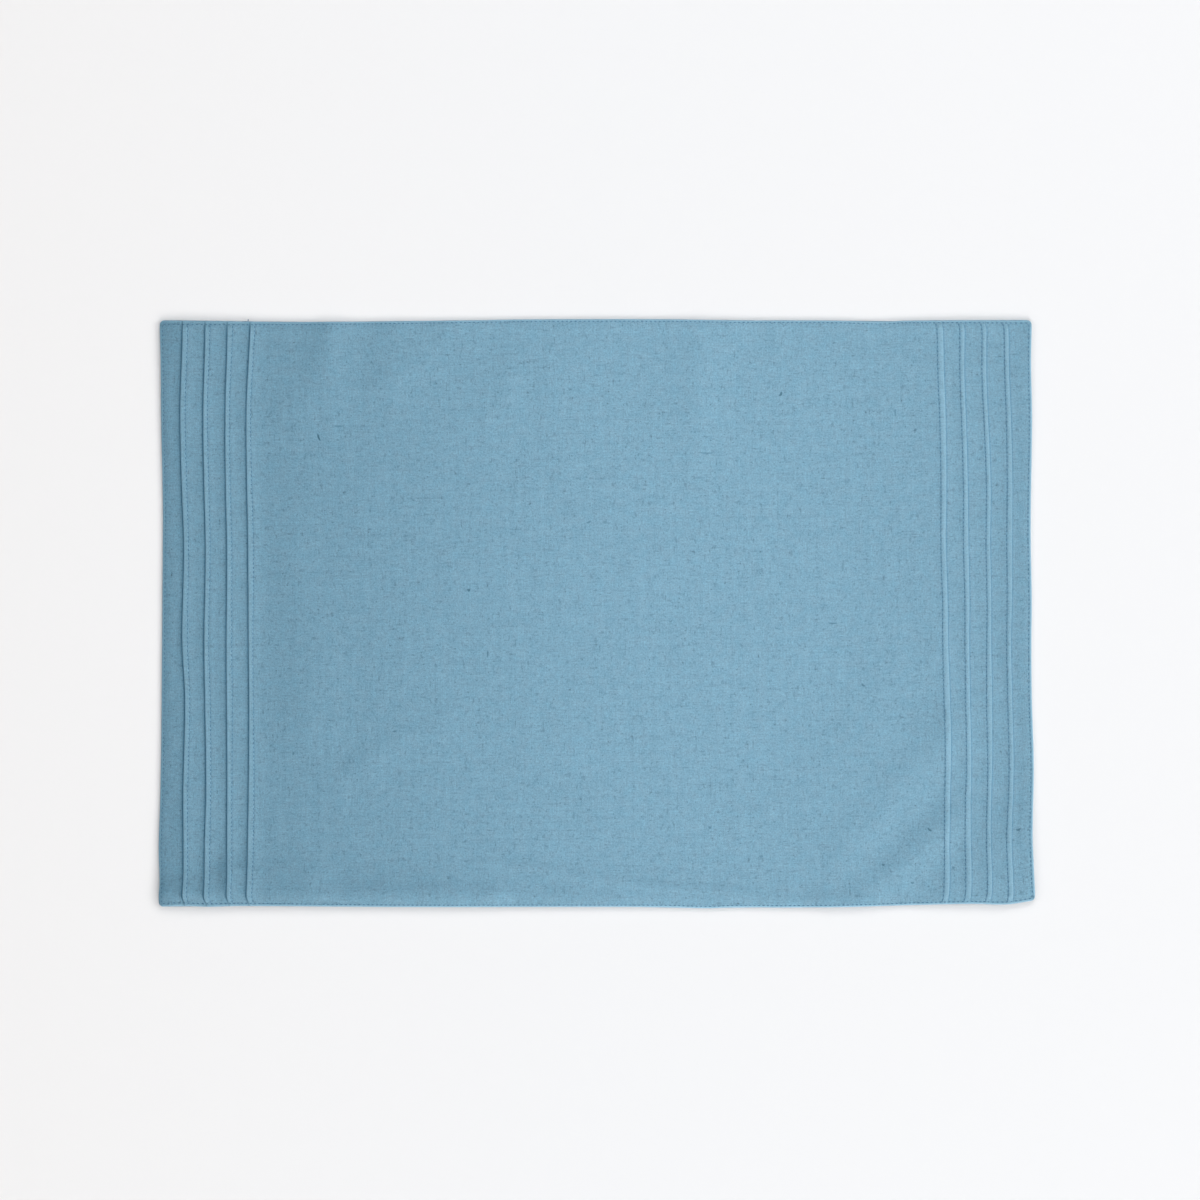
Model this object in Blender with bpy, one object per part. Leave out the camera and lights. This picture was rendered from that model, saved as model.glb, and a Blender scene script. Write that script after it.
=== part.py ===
"""A fabric placemat lying flat, in metres with +Z up.

Two layers of plain-weave cloth are turned and edge-stitched into one sheet. Four pin tucks
cross each short end. A tuck is a narrow flap of the face folded outwards, sewn along its
inner side and free along its fold. The sheet is first laid out as a true rectangle, the
pattern, and every point of it is then settled where the used cloth lies.
"""

from math import cos, radians, sin

import bmesh
import bpy
from mathutils import Vector

MM = 0.001

# Driving dimensions.
MAT_LENGTH = 0.482  # between the short ends, along X
MAT_DEPTH = 0.325  # along Y
BODY_THICKNESS = 1.2 * MM  # two layers of cloth
BORDER_THICKNESS = 1.9 * MM  # the same with the turned seam allowance between them
BORDER_WIDTH = 7.8 * MM
BORDER_SLOPE = 2.0 * MM  # where the seam allowance ends
RIM_ROUND = 0.8 * MM  # rounding of the turned edge
RIM_TOP = 0.65  # height of the rim's upper corner, as a share of the thickness
RIM_FOOT = 0.25  # height of the rim's lower corner
CORNER_RADIUS = 2.6 * MM

TUCKS_PER_END = 4
TUCK_PITCH = 12.0 * MM
TUCK_WIDTH = 2.8 * MM  # from the stitches to the fold
TUCK_PRESS_LENGTH = 4.0 * MM  # where the edge stitching holds a tuck down
TUCK_PRESS = 0.6  # height left of the tuck there
TUCK_REACH = 24.0 * MM  # how far past the innermost tuck its waviness fades

SHARP_ANGLE = radians(40.0)
ROW_PITCH = 14.0 * MM
COLUMN_PITCH = 11.0 * MM
UNDERSIDE_PITCH = 22.0 * MM
RIM_INSETS = (0.0, 0.3 * MM, RIM_ROUND, 3.5 * MM, BORDER_WIDTH, BORDER_WIDTH + BORDER_SLOPE)
UNDERSIDE_INSETS = (0.0, RIM_ROUND)

# A tuck's section. across: share of the way from the stitches to the fold.
# rise: height above the cloth in millimetres.
TUCK_SECTION = (
    # across, rise
    (1.35, 0.00),  # the cloth outside the fold
    (0.30, 0.00),  # the cloth under the flap
    (0.30, 0.30),  # root of the slot
    (0.92, 0.32),  # underside of the flap
    (1.00, 0.64),  # the fold
    (0.90, 0.96),
    (0.50, 1.04),  # crown of the flap
    (0.08, 0.55),  # drawn down by the stitches
    (-0.35, 0.00),  # the cloth inside the stitches
)

# How far each edge of the used mat stands out from the straight, in millimetres.
# along: place along the edge, from the mat's middle.
FAR_EDGE = (
    # along, out
    (-239, -0.1), (-213, -0.4), (-164, -0.9), (-130, -0.7), (-64, 0.1), (-39, 0.5),
    (35, 0.6), (77, 0.0), (110, 0.0), (135, -0.2), (159, -0.9), (170, -0.2), (239, 0.1),
)
NEAR_EDGE = (
    # along, out
    (-239, -0.2), (-230, -0.7), (-213, -0.2), (-197, -0.6), (-110, 0.0), (36, 0.1),
    (60, 0.8), (78, 0.2), (102, 0.4), (145, -0.2), (190, -1.5), (210, -1.8), (220, -1.4),
    (228, -1.7), (239, -3.4),
)
LEFT_EDGE = (
    # along, out
    (158, 0.6), (138, 0.1), (107, -0.1), (61, -1.0), (45, -1.0), (-9, -0.6), (-71, -0.1),
    (-102, 0.4), (-130, 1.2), (-149, 0.6), (-158, 1.0),
)
RIGHT_EDGE = (
    # along, out
    (158, 0.0), (138, -0.3), (107, 0.3), (45, -0.4), (6, 0.2), (-17, 0.0), (-48, 0.2),
    (-87, 1.3), (-125, 0.5), (-141, 1.0), (-158, 1.8),
)

# Where the tucks run, in millimetres from their end of the mat, the outermost tuck first.
# y: place along the tuck. fold and sewn: its fold and its stitches there.
LEFT_TUCKS = (
    # y, fold 1, sewn 1, fold 2, sewn 2, fold 3, sewn 3, fold 4, sewn 4
    (158, 12.7, 15.6, 25.2, 27.9, 37.4, 40.4, 50.0, 52.6),
    (118, 10.8, 13.6, 23.5, 25.9, 35.7, 38.1, 47.4, 49.8),
    (68, 10.7, 13.6, 23.1, 25.8, 35.0, 37.6, 46.8, 49.6),
    (35, 11.8, 14.4, 23.8, 26.4, 35.6, 38.4, 47.3, 50.4),
    (-15, 11.2, 14.2, 23.4, 25.9, 35.7, 38.7, 47.9, 50.4),
    (-48, 13.0, 15.6, 24.0, 27.0, 36.0, 39.2, 48.4, 50.8),
    (-98, 12.6, 15.2, 25.2, 27.9, 36.8, 39.5, 48.6, 51.7),
    (-131, 13.7, 16.1, 25.3, 28.2, 37.6, 40.4, 49.0, 52.2),
    (-158, 13.0, 15.3, 24.8, 27.6, 37.3, 39.7, 48.2, 51.2),
)
RIGHT_TUCKS = (
    # y, fold 1, sewn 1, fold 2, sewn 2, fold 3, sewn 3, fold 4, sewn 4
    (158, 13.0, 15.4, 25.2, 27.6, 37.3, 39.8, 49.0, 52.4),
    (118, 12.1, 14.6, 24.8, 27.2, 37.0, 39.5, 48.1, 51.5),
    (68, 10.5, 13.4, 22.5, 24.9, 35.2, 37.7, 47.1, 50.1),
    (35, 10.5, 13.5, 22.6, 25.0, 34.7, 37.5, 47.2, 50.0),
    (-15, 11.4, 13.9, 22.4, 24.9, 34.6, 37.0, 46.3, 49.3),
    (-48, 11.0, 13.5, 22.1, 25.2, 34.3, 36.8, 45.4, 48.8),
    (-98, 11.4, 13.9, 23.4, 25.6, 34.7, 37.5, 46.1, 49.1),
    (-131, 11.8, 14.6, 23.2, 25.6, 34.2, 37.4, 46.1, 48.9),
    (-158, 11.9, 14.8, 24.1, 26.6, 35.2, 38.5, 47.4, 50.4),
)

# Soft swells where the cloth stands a little off the table, in millimetres and degrees.
SWELLS = (
    # x, y, half length, half width, turn, lift
    (143, -78, 78, 34, 55, 0.9),  # up-left of the fold line near the right corner
    (222, -142, 74, 34, 48, 1.0),  # the right corner itself
    (-75, -160, 150, 24, 0, 0.7),  # along the near edge
    (-146, 146, 60, 15, 92, 0.6),  # ripples that run in from the far edge
    (-112, 150, 56, 16, 84, 0.6),
    (52, 136, 62, 18, 97, 0.6),
    (-154, -38, 76, 20, 88, 0.5),  # a long low ripple beside the left tucks
)

CLOTH_COLOUR = (0.21, 0.38, 0.50, 1.0)
CLOTH_ROUGHNESS = 0.92


def clear_scene():
    """Remove whatever the scene holds."""
    for thing in list(bpy.data.objects):
        bpy.data.objects.remove(thing, do_unlink=True)


def make_cloth_material():
    """Make the plain blue cloth."""
    material = bpy.data.materials.new("cloth")
    material.use_nodes = True
    shader = material.node_tree.nodes["Principled BSDF"]
    shader.inputs["Base Color"].default_value = CLOTH_COLOUR
    shader.inputs["Roughness"].default_value = CLOTH_ROUGHNESS
    shader.inputs["Metallic"].default_value = 0.0
    material.diffuse_color = CLOTH_COLOUR
    return material


def soft_step(share):
    """Ease from 0 to 1."""
    share = min(max(share, 0.0), 1.0)
    return share * share * (3.0 - 2.0 * share)


def curve_through(rows, at, column=1):
    """Read a column of a table at a place, on a smooth curve through its rows."""
    rows = sorted(rows)
    at = min(max(at, rows[0][0]), rows[-1][0])
    after = next(index for index, row in enumerate(rows) if index and at <= row[0])
    near = [rows[max(after - 2, 0)], rows[after - 1], rows[after], rows[min(after + 1, len(rows) - 1)]]
    spots = [row[0] for row in near]
    values = [row[column] for row in near]
    span = spots[2] - spots[1]
    start_slope = (values[2] - values[0]) / (spots[2] - spots[0])
    end_slope = (values[3] - values[1]) / (spots[3] - spots[1])
    share = (at - spots[1]) / span
    eased = soft_step(share)
    bend = share * (1.0 - share) * span * ((1.0 - share) * start_slope - share * end_slope)
    return values[1] + (values[2] - values[1]) * eased + bend


def straight_between(knots, at):
    """Carry a number from the first of each pair to the second, straight between pairs."""
    for (low, low_to), (high, high_to) in zip(knots, knots[1:]):
        if at <= high:
            return low_to + (high_to - low_to) * (at - low) / (high - low)
    return at


def end_inset(x):
    """Distance of a pattern point from its short end."""
    return MAT_LENGTH / 2 - abs(x)


def side_inset(y):
    """Distance of a pattern point from its long side."""
    return MAT_DEPTH / 2 - abs(y)


def tuck_fold(index):
    """Distance of a tuck's fold from its end in the pattern."""
    return TUCK_PITCH * (index + 1)


def face_section():
    """List the face's points across one half, from the end inwards, as (inset, height)."""
    points = [(inset, 0.0) for inset in RIM_INSETS]
    for index in range(TUCKS_PER_END):
        for across, rise in TUCK_SECTION:
            points.append((tuck_fold(index) + (1.0 - across) * TUCK_WIDTH, rise * MM))
    return points


def even_places(start, end, pitch):
    """Places between two ends, about a pitch apart, without the ends."""
    steps = max(round((end - start) / pitch), 1)
    return [start + (end - start) * step / steps for step in range(1, steps)]


def pattern_section():
    """List the pattern's closed section as (x, z): the face to the right, the underside back."""
    half = MAT_LENGTH / 2
    left = [(inset - half, height) for inset, height in face_section()]
    right = [(half - inset, height) for inset, height in reversed(face_section())]
    middle = [(x, 0.0) for x in even_places(left[-1][0], right[0][0], COLUMN_PITCH)]
    under_x = [inset - half for inset in UNDERSIDE_INSETS]
    under_x += even_places(under_x[-1], -under_x[-1], UNDERSIDE_PITCH)
    under_x += [half - inset for inset in reversed(UNDERSIDE_INSETS)]
    underside = [(x, -BODY_THICKNESS) for x in reversed(under_x)]
    return left + middle + right + underside


def pattern_rows():
    """List the places along Y where the section stands."""
    half = MAT_DEPTH / 2
    near = [inset - half for inset in RIM_INSETS]
    far = [half - inset for inset in reversed(RIM_INSETS)]
    return near + even_places(near[-1], far[0], ROW_PITCH) + far


def sweep_section(mesh, section, rows):
    """Carry the closed section along Y through every row and fill both ends."""
    ring = [mesh.verts.new((x, rows[0], z)) for x, z in section]
    edges = [mesh.edges.new(pair) for pair in zip(ring, ring[1:] + ring[:1])]
    ends = [edges]
    for before, after in zip(rows, rows[1:]):
        swept = bmesh.ops.extrude_edge_only(mesh, edges=edges)["geom"]
        corners = [part for part in swept if isinstance(part, bmesh.types.BMVert)]
        bmesh.ops.translate(mesh, verts=corners, vec=(0.0, after - before, 0.0))
        edges = [part for part in swept if isinstance(part, bmesh.types.BMEdge)]
    ends.append(edges)
    for end, outwards in zip(ends, (-1.0, 1.0)):
        bmesh.ops.triangle_fill(mesh, edges=end, use_beauty=True, normal=(0.0, outwards, 0.0))


def round_corner(x, y):
    """Draw the pattern's square corners in to round ones."""
    over_x = 1.0 - end_inset(x) / CORNER_RADIUS
    over_y = 1.0 - side_inset(y) / CORNER_RADIUS
    if over_x <= 0.0 or over_y <= 0.0:
        return x, y
    inward_x = over_x * (1.0 - (1.0 - over_y**2 / 2) ** 0.5) * CORNER_RADIUS
    inward_y = over_y * (1.0 - (1.0 - over_x**2 / 2) ** 0.5) * CORNER_RADIUS
    return x - inward_x * (1 if x > 0 else -1), y - inward_y * (1 if y > 0 else -1)


def follow_tucks(x, y):
    """Move a pattern point across the mat as the wavy tucks take it."""
    table = LEFT_TUCKS if x < 0 else RIGHT_TUCKS
    knots = [(0.0, 0.0), (RIM_INSETS[-1], RIM_INSETS[-1])]
    for index in range(TUCKS_PER_END):
        fold = curve_through(table, y / MM, 1 + 2 * index) * MM
        sewn = curve_through(table, y / MM, 2 + 2 * index) * MM
        knots += [(tuck_fold(index), fold), (tuck_fold(index) + TUCK_WIDTH, sewn)]
    calm = knots[-1][0] + TUCK_REACH
    knots.append((calm, calm))
    inset = straight_between(knots, end_inset(x))
    return (MAT_LENGTH / 2 - inset) * (1 if x > 0 else -1)


def follow_edges(x, y):
    """Move a point as the four uneven edges take it, each less the further it is away."""
    right_share = 0.5 + x / MAT_LENGTH
    far_share = 0.5 + y / MAT_DEPTH
    out_right = curve_through(RIGHT_EDGE, y / MM) * right_share
    out_left = curve_through(LEFT_EDGE, y / MM) * (1.0 - right_share)
    out_far = curve_through(FAR_EDGE, x / MM) * far_share
    out_near = curve_through(NEAR_EDGE, x / MM) * (1.0 - far_share)
    return x + (out_right - out_left) * MM, y + (out_far - out_near) * MM


def swell_lift(x, y):
    """Height of the cloth off the table."""
    lift = 0.0
    for centre_x, centre_y, half_length, half_width, turn, height in SWELLS:
        off_x = x / MM - centre_x
        off_y = y / MM - centre_y
        along = (off_x * cos(radians(turn)) + off_y * sin(radians(turn))) / half_length
        across = (off_y * cos(radians(turn)) - off_x * sin(radians(turn))) / half_width
        lift += height * max(0.0, 1.0 - along**2 - across**2) ** 2
    return lift * MM


def cloth_thickness(inset):
    """Thickness of the sheet: the border holds the seam allowance."""
    border = 1.0 - soft_step((inset - BORDER_WIDTH) / BORDER_SLOPE)
    return BODY_THICKNESS + (BORDER_THICKNESS - BODY_THICKNESS) * border


def rim_curve(inset):
    """Rise of the turned edge's quarter round, from 0 at the rim to 1."""
    share = min(max(inset / RIM_ROUND, 0.0), 1.0)
    return (1.0 - (1.0 - share) ** 2) ** 0.5


def settle(point):
    """Take a pattern point to where it lies in the used mat."""
    x, y, layer = point
    inset = min(end_inset(x), side_inset(y))
    round_x, round_y = round_corner(follow_tucks(x, y), y)
    lying_x, lying_y = follow_edges(round_x, round_y)
    thickness = cloth_thickness(inset)
    if layer < 0.0:
        height = thickness * RIM_FOOT * (1.0 - rim_curve(inset))
    else:
        pressed = soft_step(side_inset(y) / TUCK_PRESS_LENGTH)
        tuck_share = TUCK_PRESS + (1.0 - TUCK_PRESS) * pressed
        rim_height = RIM_TOP + (1.0 - RIM_TOP) * rim_curve(inset)
        height = thickness * rim_height + layer * tuck_share
    return Vector((lying_x, lying_y, height + swell_lift(lying_x, lying_y)))


def stand_on_origin(mesh):
    """Move the mat so that the middle of its box's underside is the origin."""
    low = Vector([min(vert.co[axis] for vert in mesh.verts) for axis in range(3)])
    high = Vector([max(vert.co[axis] for vert in mesh.verts) for axis in range(3)])
    middle = (low + high) / 2
    bmesh.ops.translate(mesh, verts=mesh.verts, vec=(-middle.x, -middle.y, -low.z))


def make_placemat(collection):
    """Build the mat as one closed solid."""
    mesh = bmesh.new()
    sweep_section(mesh, pattern_section(), pattern_rows())
    for vert in mesh.verts:
        vert.co = settle(vert.co)
    stand_on_origin(mesh)
    bmesh.ops.recalc_face_normals(mesh, faces=mesh.faces)
    shape = bpy.data.meshes.new("placemat")
    mesh.to_mesh(shape)
    mesh.free()
    shape.shade_smooth()
    shape.set_sharp_from_angle(angle=SHARP_ANGLE)
    shape.materials.append(make_cloth_material())
    placemat = bpy.data.objects.new("placemat", shape)
    collection.objects.link(placemat)
    return placemat


def main():
    """Build the fabric placemat."""
    clear_scene()
    collection = bpy.data.collections.new("fabric_placemat")
    bpy.context.scene.collection.children.link(collection)
    make_placemat(collection)


main()
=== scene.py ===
"""The looks of a fabric placemat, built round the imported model, in metres with +Z up.

The mat is laid out first as a pattern: a flat rectangle whose turned edge is unrolled. Every
point of the pattern is then settled where the used cloth lies. Each stitch is placed on the
same pattern and settled with it, so the thread follows the cloth.
"""

from functools import lru_cache
from math import copysign, cos, exp, hypot, pi, radians, sin
from random import Random

import bmesh
import bpy
from mathutils import Matrix, Vector, noise


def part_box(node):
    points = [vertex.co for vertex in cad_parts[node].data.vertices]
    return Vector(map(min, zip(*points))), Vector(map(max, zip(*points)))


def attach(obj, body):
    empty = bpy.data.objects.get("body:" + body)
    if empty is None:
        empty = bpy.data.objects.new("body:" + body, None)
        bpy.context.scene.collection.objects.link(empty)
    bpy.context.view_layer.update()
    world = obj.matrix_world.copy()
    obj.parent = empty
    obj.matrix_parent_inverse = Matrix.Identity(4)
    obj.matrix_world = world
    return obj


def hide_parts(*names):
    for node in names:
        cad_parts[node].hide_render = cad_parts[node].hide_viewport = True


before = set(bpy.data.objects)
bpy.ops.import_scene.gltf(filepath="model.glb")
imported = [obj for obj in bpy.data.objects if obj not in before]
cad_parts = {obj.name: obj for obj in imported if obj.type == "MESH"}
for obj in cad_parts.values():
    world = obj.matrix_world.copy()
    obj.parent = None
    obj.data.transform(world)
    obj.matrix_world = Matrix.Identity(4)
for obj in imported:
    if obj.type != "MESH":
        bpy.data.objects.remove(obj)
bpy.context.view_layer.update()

MM = 0.001

# The mat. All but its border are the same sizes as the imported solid.
MAT_LENGTH = 0.482  # between the short ends, along X
MAT_DEPTH = 0.325  # along Y
BODY_THICKNESS = 1.2 * MM  # two layers of cloth
BORDER_THICKNESS = 1.5 * MM  # the same where the seam allowance is turned in between them
BORDER_WIDTH = 3.6 * MM
BORDER_SLOPE = 6.0 * MM  # where the seam allowance thins out
CORNER_RADIUS = 2.6 * MM

TUCKS_PER_END = 4
TUCK_PITCH = 12.0 * MM
TUCK_WIDTH = 2.8 * MM  # from the stitches to the fold
TUCK_PRESS_LENGTH = 3.2 * MM  # how far in the edge stitching holds a tuck down
TUCK_PRESS = 0.35  # height left of the tuck there
TUCK_REACH = 24.0 * MM  # how far past the innermost tuck its waviness fades

# The turned edge.
RIM_ROUND = 0.65 * MM
RIM_TOP = 0.66  # height of the outermost line, as a share of the thickness
RIM_WEAR_AND_SHEEN = 2.2  # how much it is rubbed pale and painted with sheen, where a tuck's crown is 1
RIM_WEAR_AND_SHEEN_WIDTH = 0.8 * MM
# past: how far past the rim in the unrolled pattern. inset: how far inside the rim it is
# once rolled in. level: its height, as a share of the thickness.
ROLLED_IN = (
    # past, inset, level
    (0.00, 0.00, 0.66),
    (0.10, 0.05, 0.59),
    (0.25, 0.20, 0.53),
    (0.45, 0.40, 0.51),
)
RIM_COLUMNS = (0.0, 0.05, 0.14, 0.30, 0.50, 0.75, 1.0, 1.2, 1.4, 1.65, 2.0, 2.8)
BORDER_COLUMNS = (4.0, 5.2, 6.3, 7.4, 8.4, 9.2)
UNDERSIDE_RIM_COLUMNS = (0.0, 0.14, 0.50, 1.0, 1.4, 2.0)
UNDERSIDE_PITCH = 36.0 * MM
GAP_PITCH = 2.4 * MM  # columns between two tucks
GAP_PAINTED_LIGHT = 0.12  # painted light: how much the cloth between two tucks is paled, as if more light fell there
MIDDLE_PITCH = 4.0 * MM  # columns across the plain middle

# Sewing.
STITCH_PITCH = 2.44 * MM
STITCH_LENGTH = 1.46 * MM  # what shows of each stitch
STITCH_STRETCH = (0.90, 1.08)  # shortest and longest, as a share of that
STITCH_LEAN = 0.10  # how far a stitch may lean to either side, as a share of its length
THREAD_RADIUS = 0.26 * MM
THREAD_SPREAD = 1.1  # how much wider than high the thread lies
THREAD_RISE = 0.10 * MM  # how far a stitch's middle line stands over the cloth
THREAD_DIP = 0.20 * MM  # how far a stitch's ends go into the cloth
UNDERSIDE_THREAD_SINK = 0.16 * MM  # how much deeper the thread lies in the underside
LEFT_STITCH_INSET = 1.50 * MM  # from the left end to its line of stitches
RIGHT_STITCH_INSET = 1.60 * MM
# How far inside each long side its stitches run, in millimetres.
FAR_STITCHES = (
    # along, inset
    (-239, 2.3), (-205, 2.1), (-165, 1.6), (-60, 1.3), (160, 1.25), (205, 1.5), (239, 1.8),
)
NEAR_STITCHES = (
    # along, inset
    (-239, 1.9), (-190, 1.6), (-120, 1.2), (90, 1.1), (190, 1.3), (239, 1.5),
)
# A cut end of thread at the far edge: its x, and the y it runs from and to, in millimetres.
LOOSE_END = (-192.6, 161.5, 162.9)
SEAM_DRAW = 0.08 * MM  # how far the edge stitching draws the cloth down
SEAM_DRAW_BELOW = 0.8  # share of it by which the underside is drawn up
SEAM_DRAW_WIDTH = 0.5 * MM
ROW_PITCH = STITCH_PITCH / 2  # rows of the mesh along a tuck
WELD = 0.001 * MM  # points closer than this are one

# A tuck's section. across: share of the way from the stitches to the fold.
# rise: height above the cloth in millimetres. wear: how much the cloth is paled there: rubbed pale
# with painted sheen on the fold and crown, painted light on the plain cloth round the tuck; below 0
# it is darkened with painted shade in the slot under the flap, beside the fold and along the
# stitches.
TUCK_SECTION = (
    # across, rise, wear
    (1.85, 0.00, 0.12),  # the cloth outside the fold
    (1.42, 0.03, 0.12),
    (1.24, 0.03, -0.1),
    (1.12, 0.03, -1.0),
    (0.30, 0.14, -0.9),  # the cloth under the flap
    (0.24, 0.24, -1.0),  # root of the slot
    (0.30, 0.33, -1.0),
    (0.92, 0.28, -0.5),  # underside of the flap
    (0.99, 0.37, 0.0),
    (1.00, 0.51, 0.3),  # the fold
    (0.97, 0.63, 0.9),
    (0.88, 0.71, 1.0),
    (0.66, 0.71, 0.8),  # crown of the flap
    (0.36, 0.66, 0.5),
    (0.18, 0.61, 0.2),
    (0.10, 0.56, 0.0),
    (0.04, 0.44, -0.2),
    (0.00, 0.34, -0.5),  # drawn down by the stitches
    (-0.05, 0.36, -0.4),
    (-0.14, 0.38, 0.1),  # the cloth inside the stitches
    (-0.60, 0.20, 0.14),
    (-1.30, 0.00, 0.12),
)
FOLD_ROW = 9  # the fold's row of the table above, from 0

# How far each edge of the used mat stands out from the straight, in millimetres.
# along: place along the edge, from the mat's middle.
FAR_EDGE = (
    # along, out
    (-239, -0.5), (-213, -0.8), (-164, -1.3), (-130, -1.1), (-64, -0.3), (-39, 0.1),
    (35, 0.2), (77, -0.4), (110, -0.4), (135, -0.6), (159, -1.3), (170, -0.6), (239, -0.3),
)
NEAR_EDGE = (
    # along, out
    (-239, -0.2), (-230, -0.7), (-213, -0.2), (-197, -0.6), (-110, 0.0), (36, 0.1),
    (60, 0.8), (78, 0.2), (102, 0.4), (145, -0.2), (190, -1.5), (210, -1.8), (220, -1.4),
    (228, -1.7), (239, -3.4),
)
LEFT_EDGE = (
    # along, out
    (158, 0.3), (138, -0.2), (107, -0.4), (61, -1.3), (45, -1.3), (-9, -0.9), (-71, -0.4),
    (-102, 0.1), (-130, 0.9), (-149, 0.3), (-158, 0.7),
)
RIGHT_EDGE = (
    # along, out
    (158, 0.0), (138, -0.3), (107, 0.3), (45, -0.4), (6, 0.2), (-17, 0.0), (-48, 0.2),
    (-87, 1.3), (-125, 0.5), (-141, 1.0), (-158, 1.8),
)

# Where the tucks run, in millimetres from their end of the mat, the outermost tuck first.
# y: place along the tuck. fold and sewn: its fold and its stitches there.
LEFT_TUCKS = (
    # y, fold 1, sewn 1, fold 2, sewn 2, fold 3, sewn 3, fold 4, sewn 4
    (158, 12.7, 15.6, 25.2, 27.9, 37.4, 40.4, 50.0, 52.6),
    (118, 10.8, 13.6, 23.5, 25.9, 35.7, 38.1, 47.4, 49.8),
    (68, 10.7, 13.6, 23.1, 25.8, 35.0, 37.6, 46.8, 49.6),
    (35, 11.8, 14.4, 23.8, 26.4, 35.6, 38.4, 47.3, 50.4),
    (-15, 11.2, 14.2, 23.4, 25.9, 35.7, 38.7, 47.9, 50.4),
    (-48, 13.0, 15.6, 24.0, 27.0, 36.0, 39.2, 48.4, 50.8),
    (-98, 12.6, 15.2, 25.2, 27.9, 36.8, 39.5, 48.6, 51.7),
    (-131, 13.7, 16.1, 25.3, 28.2, 37.6, 40.4, 49.0, 52.2),
    (-156, 13.0, 15.3, 24.8, 27.6, 37.3, 39.7, 48.2, 51.2),
    (-162, 14.4, 16.8, 26.6, 29.3, 38.9, 41.3, 49.8, 52.6),
)
RIGHT_TUCKS = (
    # y, fold 1, sewn 1, fold 2, sewn 2, fold 3, sewn 3, fold 4, sewn 4
    (162, 14.3, 16.6, 26.3, 28.7, 38.4, 41.0, 50.2, 53.5),
    (157, 12.9, 15.4, 25.1, 27.6, 37.2, 39.8, 49.0, 52.4),
    (118, 12.1, 14.6, 24.8, 27.2, 37.0, 39.5, 48.1, 51.5),
    (68, 10.5, 13.4, 22.5, 24.9, 35.2, 37.7, 47.1, 50.1),
    (35, 10.5, 13.5, 22.6, 25.0, 34.7, 37.5, 47.2, 50.0),
    (-15, 11.4, 13.9, 22.4, 24.9, 34.6, 37.0, 46.3, 49.3),
    (-48, 11.0, 13.5, 22.1, 25.2, 34.3, 36.8, 45.4, 48.8),
    (-98, 11.4, 13.9, 23.4, 25.6, 34.7, 37.5, 46.1, 49.1),
    (-131, 11.8, 14.6, 23.2, 25.6, 34.2, 37.4, 46.1, 48.9),
    (-155, 11.9, 14.8, 23.8, 26.4, 35.1, 38.3, 47.2, 50.2),
    (-162, 12.6, 15.4, 25.2, 27.7, 36.2, 39.4, 48.6, 51.4),
)

# Soft swells where the cloth stands a little off the table, in millimetres and degrees.
SWELLS = (
    # x, y, half length, half width, turn, lift
    (143, -78, 78, 34, 55, 0.9),  # up-left of the fold line near the right corner
    (222, -142, 74, 34, 48, 1.3),  # the right corner itself
    (-75, -160, 150, 24, 0, 0.7),  # along the near edge
    (-146, 146, 60, 15, 92, 0.6),  # ripples that run in from the far edge
    (-112, 150, 56, 16, 84, 0.6),
    (52, 136, 62, 18, 97, 0.6),
    (-154, -38, 76, 20, 88, 0.5),  # a long low ripple beside the left tucks
)

# Creases, each a soft ridge, in millimetres.
CREASES = (
    # rise, half width, the points that its line runs through
    # ripples that run in from the far edge
    (0.62, 10.0, ((-146, 160), (-153, 136), (-164, 114))),
    (0.42, 8.0, ((-84, 156), (-104, 134), (-125, 122))),
    (0.40, 6.0, ((-42, 156), (-48, 130), (-60, 104))),
    (0.35, 6.0, ((-27, 150), (-22, 110), (-19, 80))),
    (0.60, 6.5, ((59, 158), (57, 125), (53, 88))),
    (0.35, 10.0, ((72, 158), (68, 125), (64, 88))),
    # waves in the left half
    (0.30, 6.5, ((-165, 74), (-165, 0), (-165, -74))),
    (0.55, 8.0, ((-143, -96), (-113, -71), (-82, -58))),
    # along the near edge
    (1.55, 5.6, ((-238, -154.6), (-190, -155), (-56, -156))),
    (0.60, 12.0, ((-238, -152.5), (-80, -152.5))),
    (1.40, 8.0, ((-202, -144), (-170, -144), (-158, -147))),
    (0.60, 4.6, ((-56, -156), (30, -156.5), (125, -158))),
    (0.75, 3.2, ((-62, -137), (-14, -145), (30, -151), (82, -154))),
    # the two folds across the right corner
    (1.40, 12.0, ((136, -132), (156, -110), (176, -88), (194, -64))),
    (1.60, 9.5, ((130, -164), (147, -158.5), (164.5, -144), (179.5, -130), (194, -117.5))),
    (0.30, 7.0, ((232, 130), (232, -110))),
    # the edges stand a little off the table
    (1.15, 55.0, ((-215, 165), (-215, -165))),
    (0.45, 12.0, ((-229, 160), (-229, -160))),
    (0.70, 50.0, ((215, 165), (215, -165))),
    (1.05, 48.0, ((-247, 150), (247, 150))),
    (1.00, 48.0, ((-247, -150), (247, -150))),
    (0.40, 12.0, ((-247, -151), (247, -151))),
)
CREASE_REACH = 2.5  # half widths from its line where a crease no longer shows
COCKLES = (
    # height, pitch of the faint unevenness all over, in millimetres
    (0.18, 24.0),
    (0.05, 9.0),
)
TOUCH_DOWN = 0.08 * MM  # how softly the cloth comes down on the table

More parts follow.
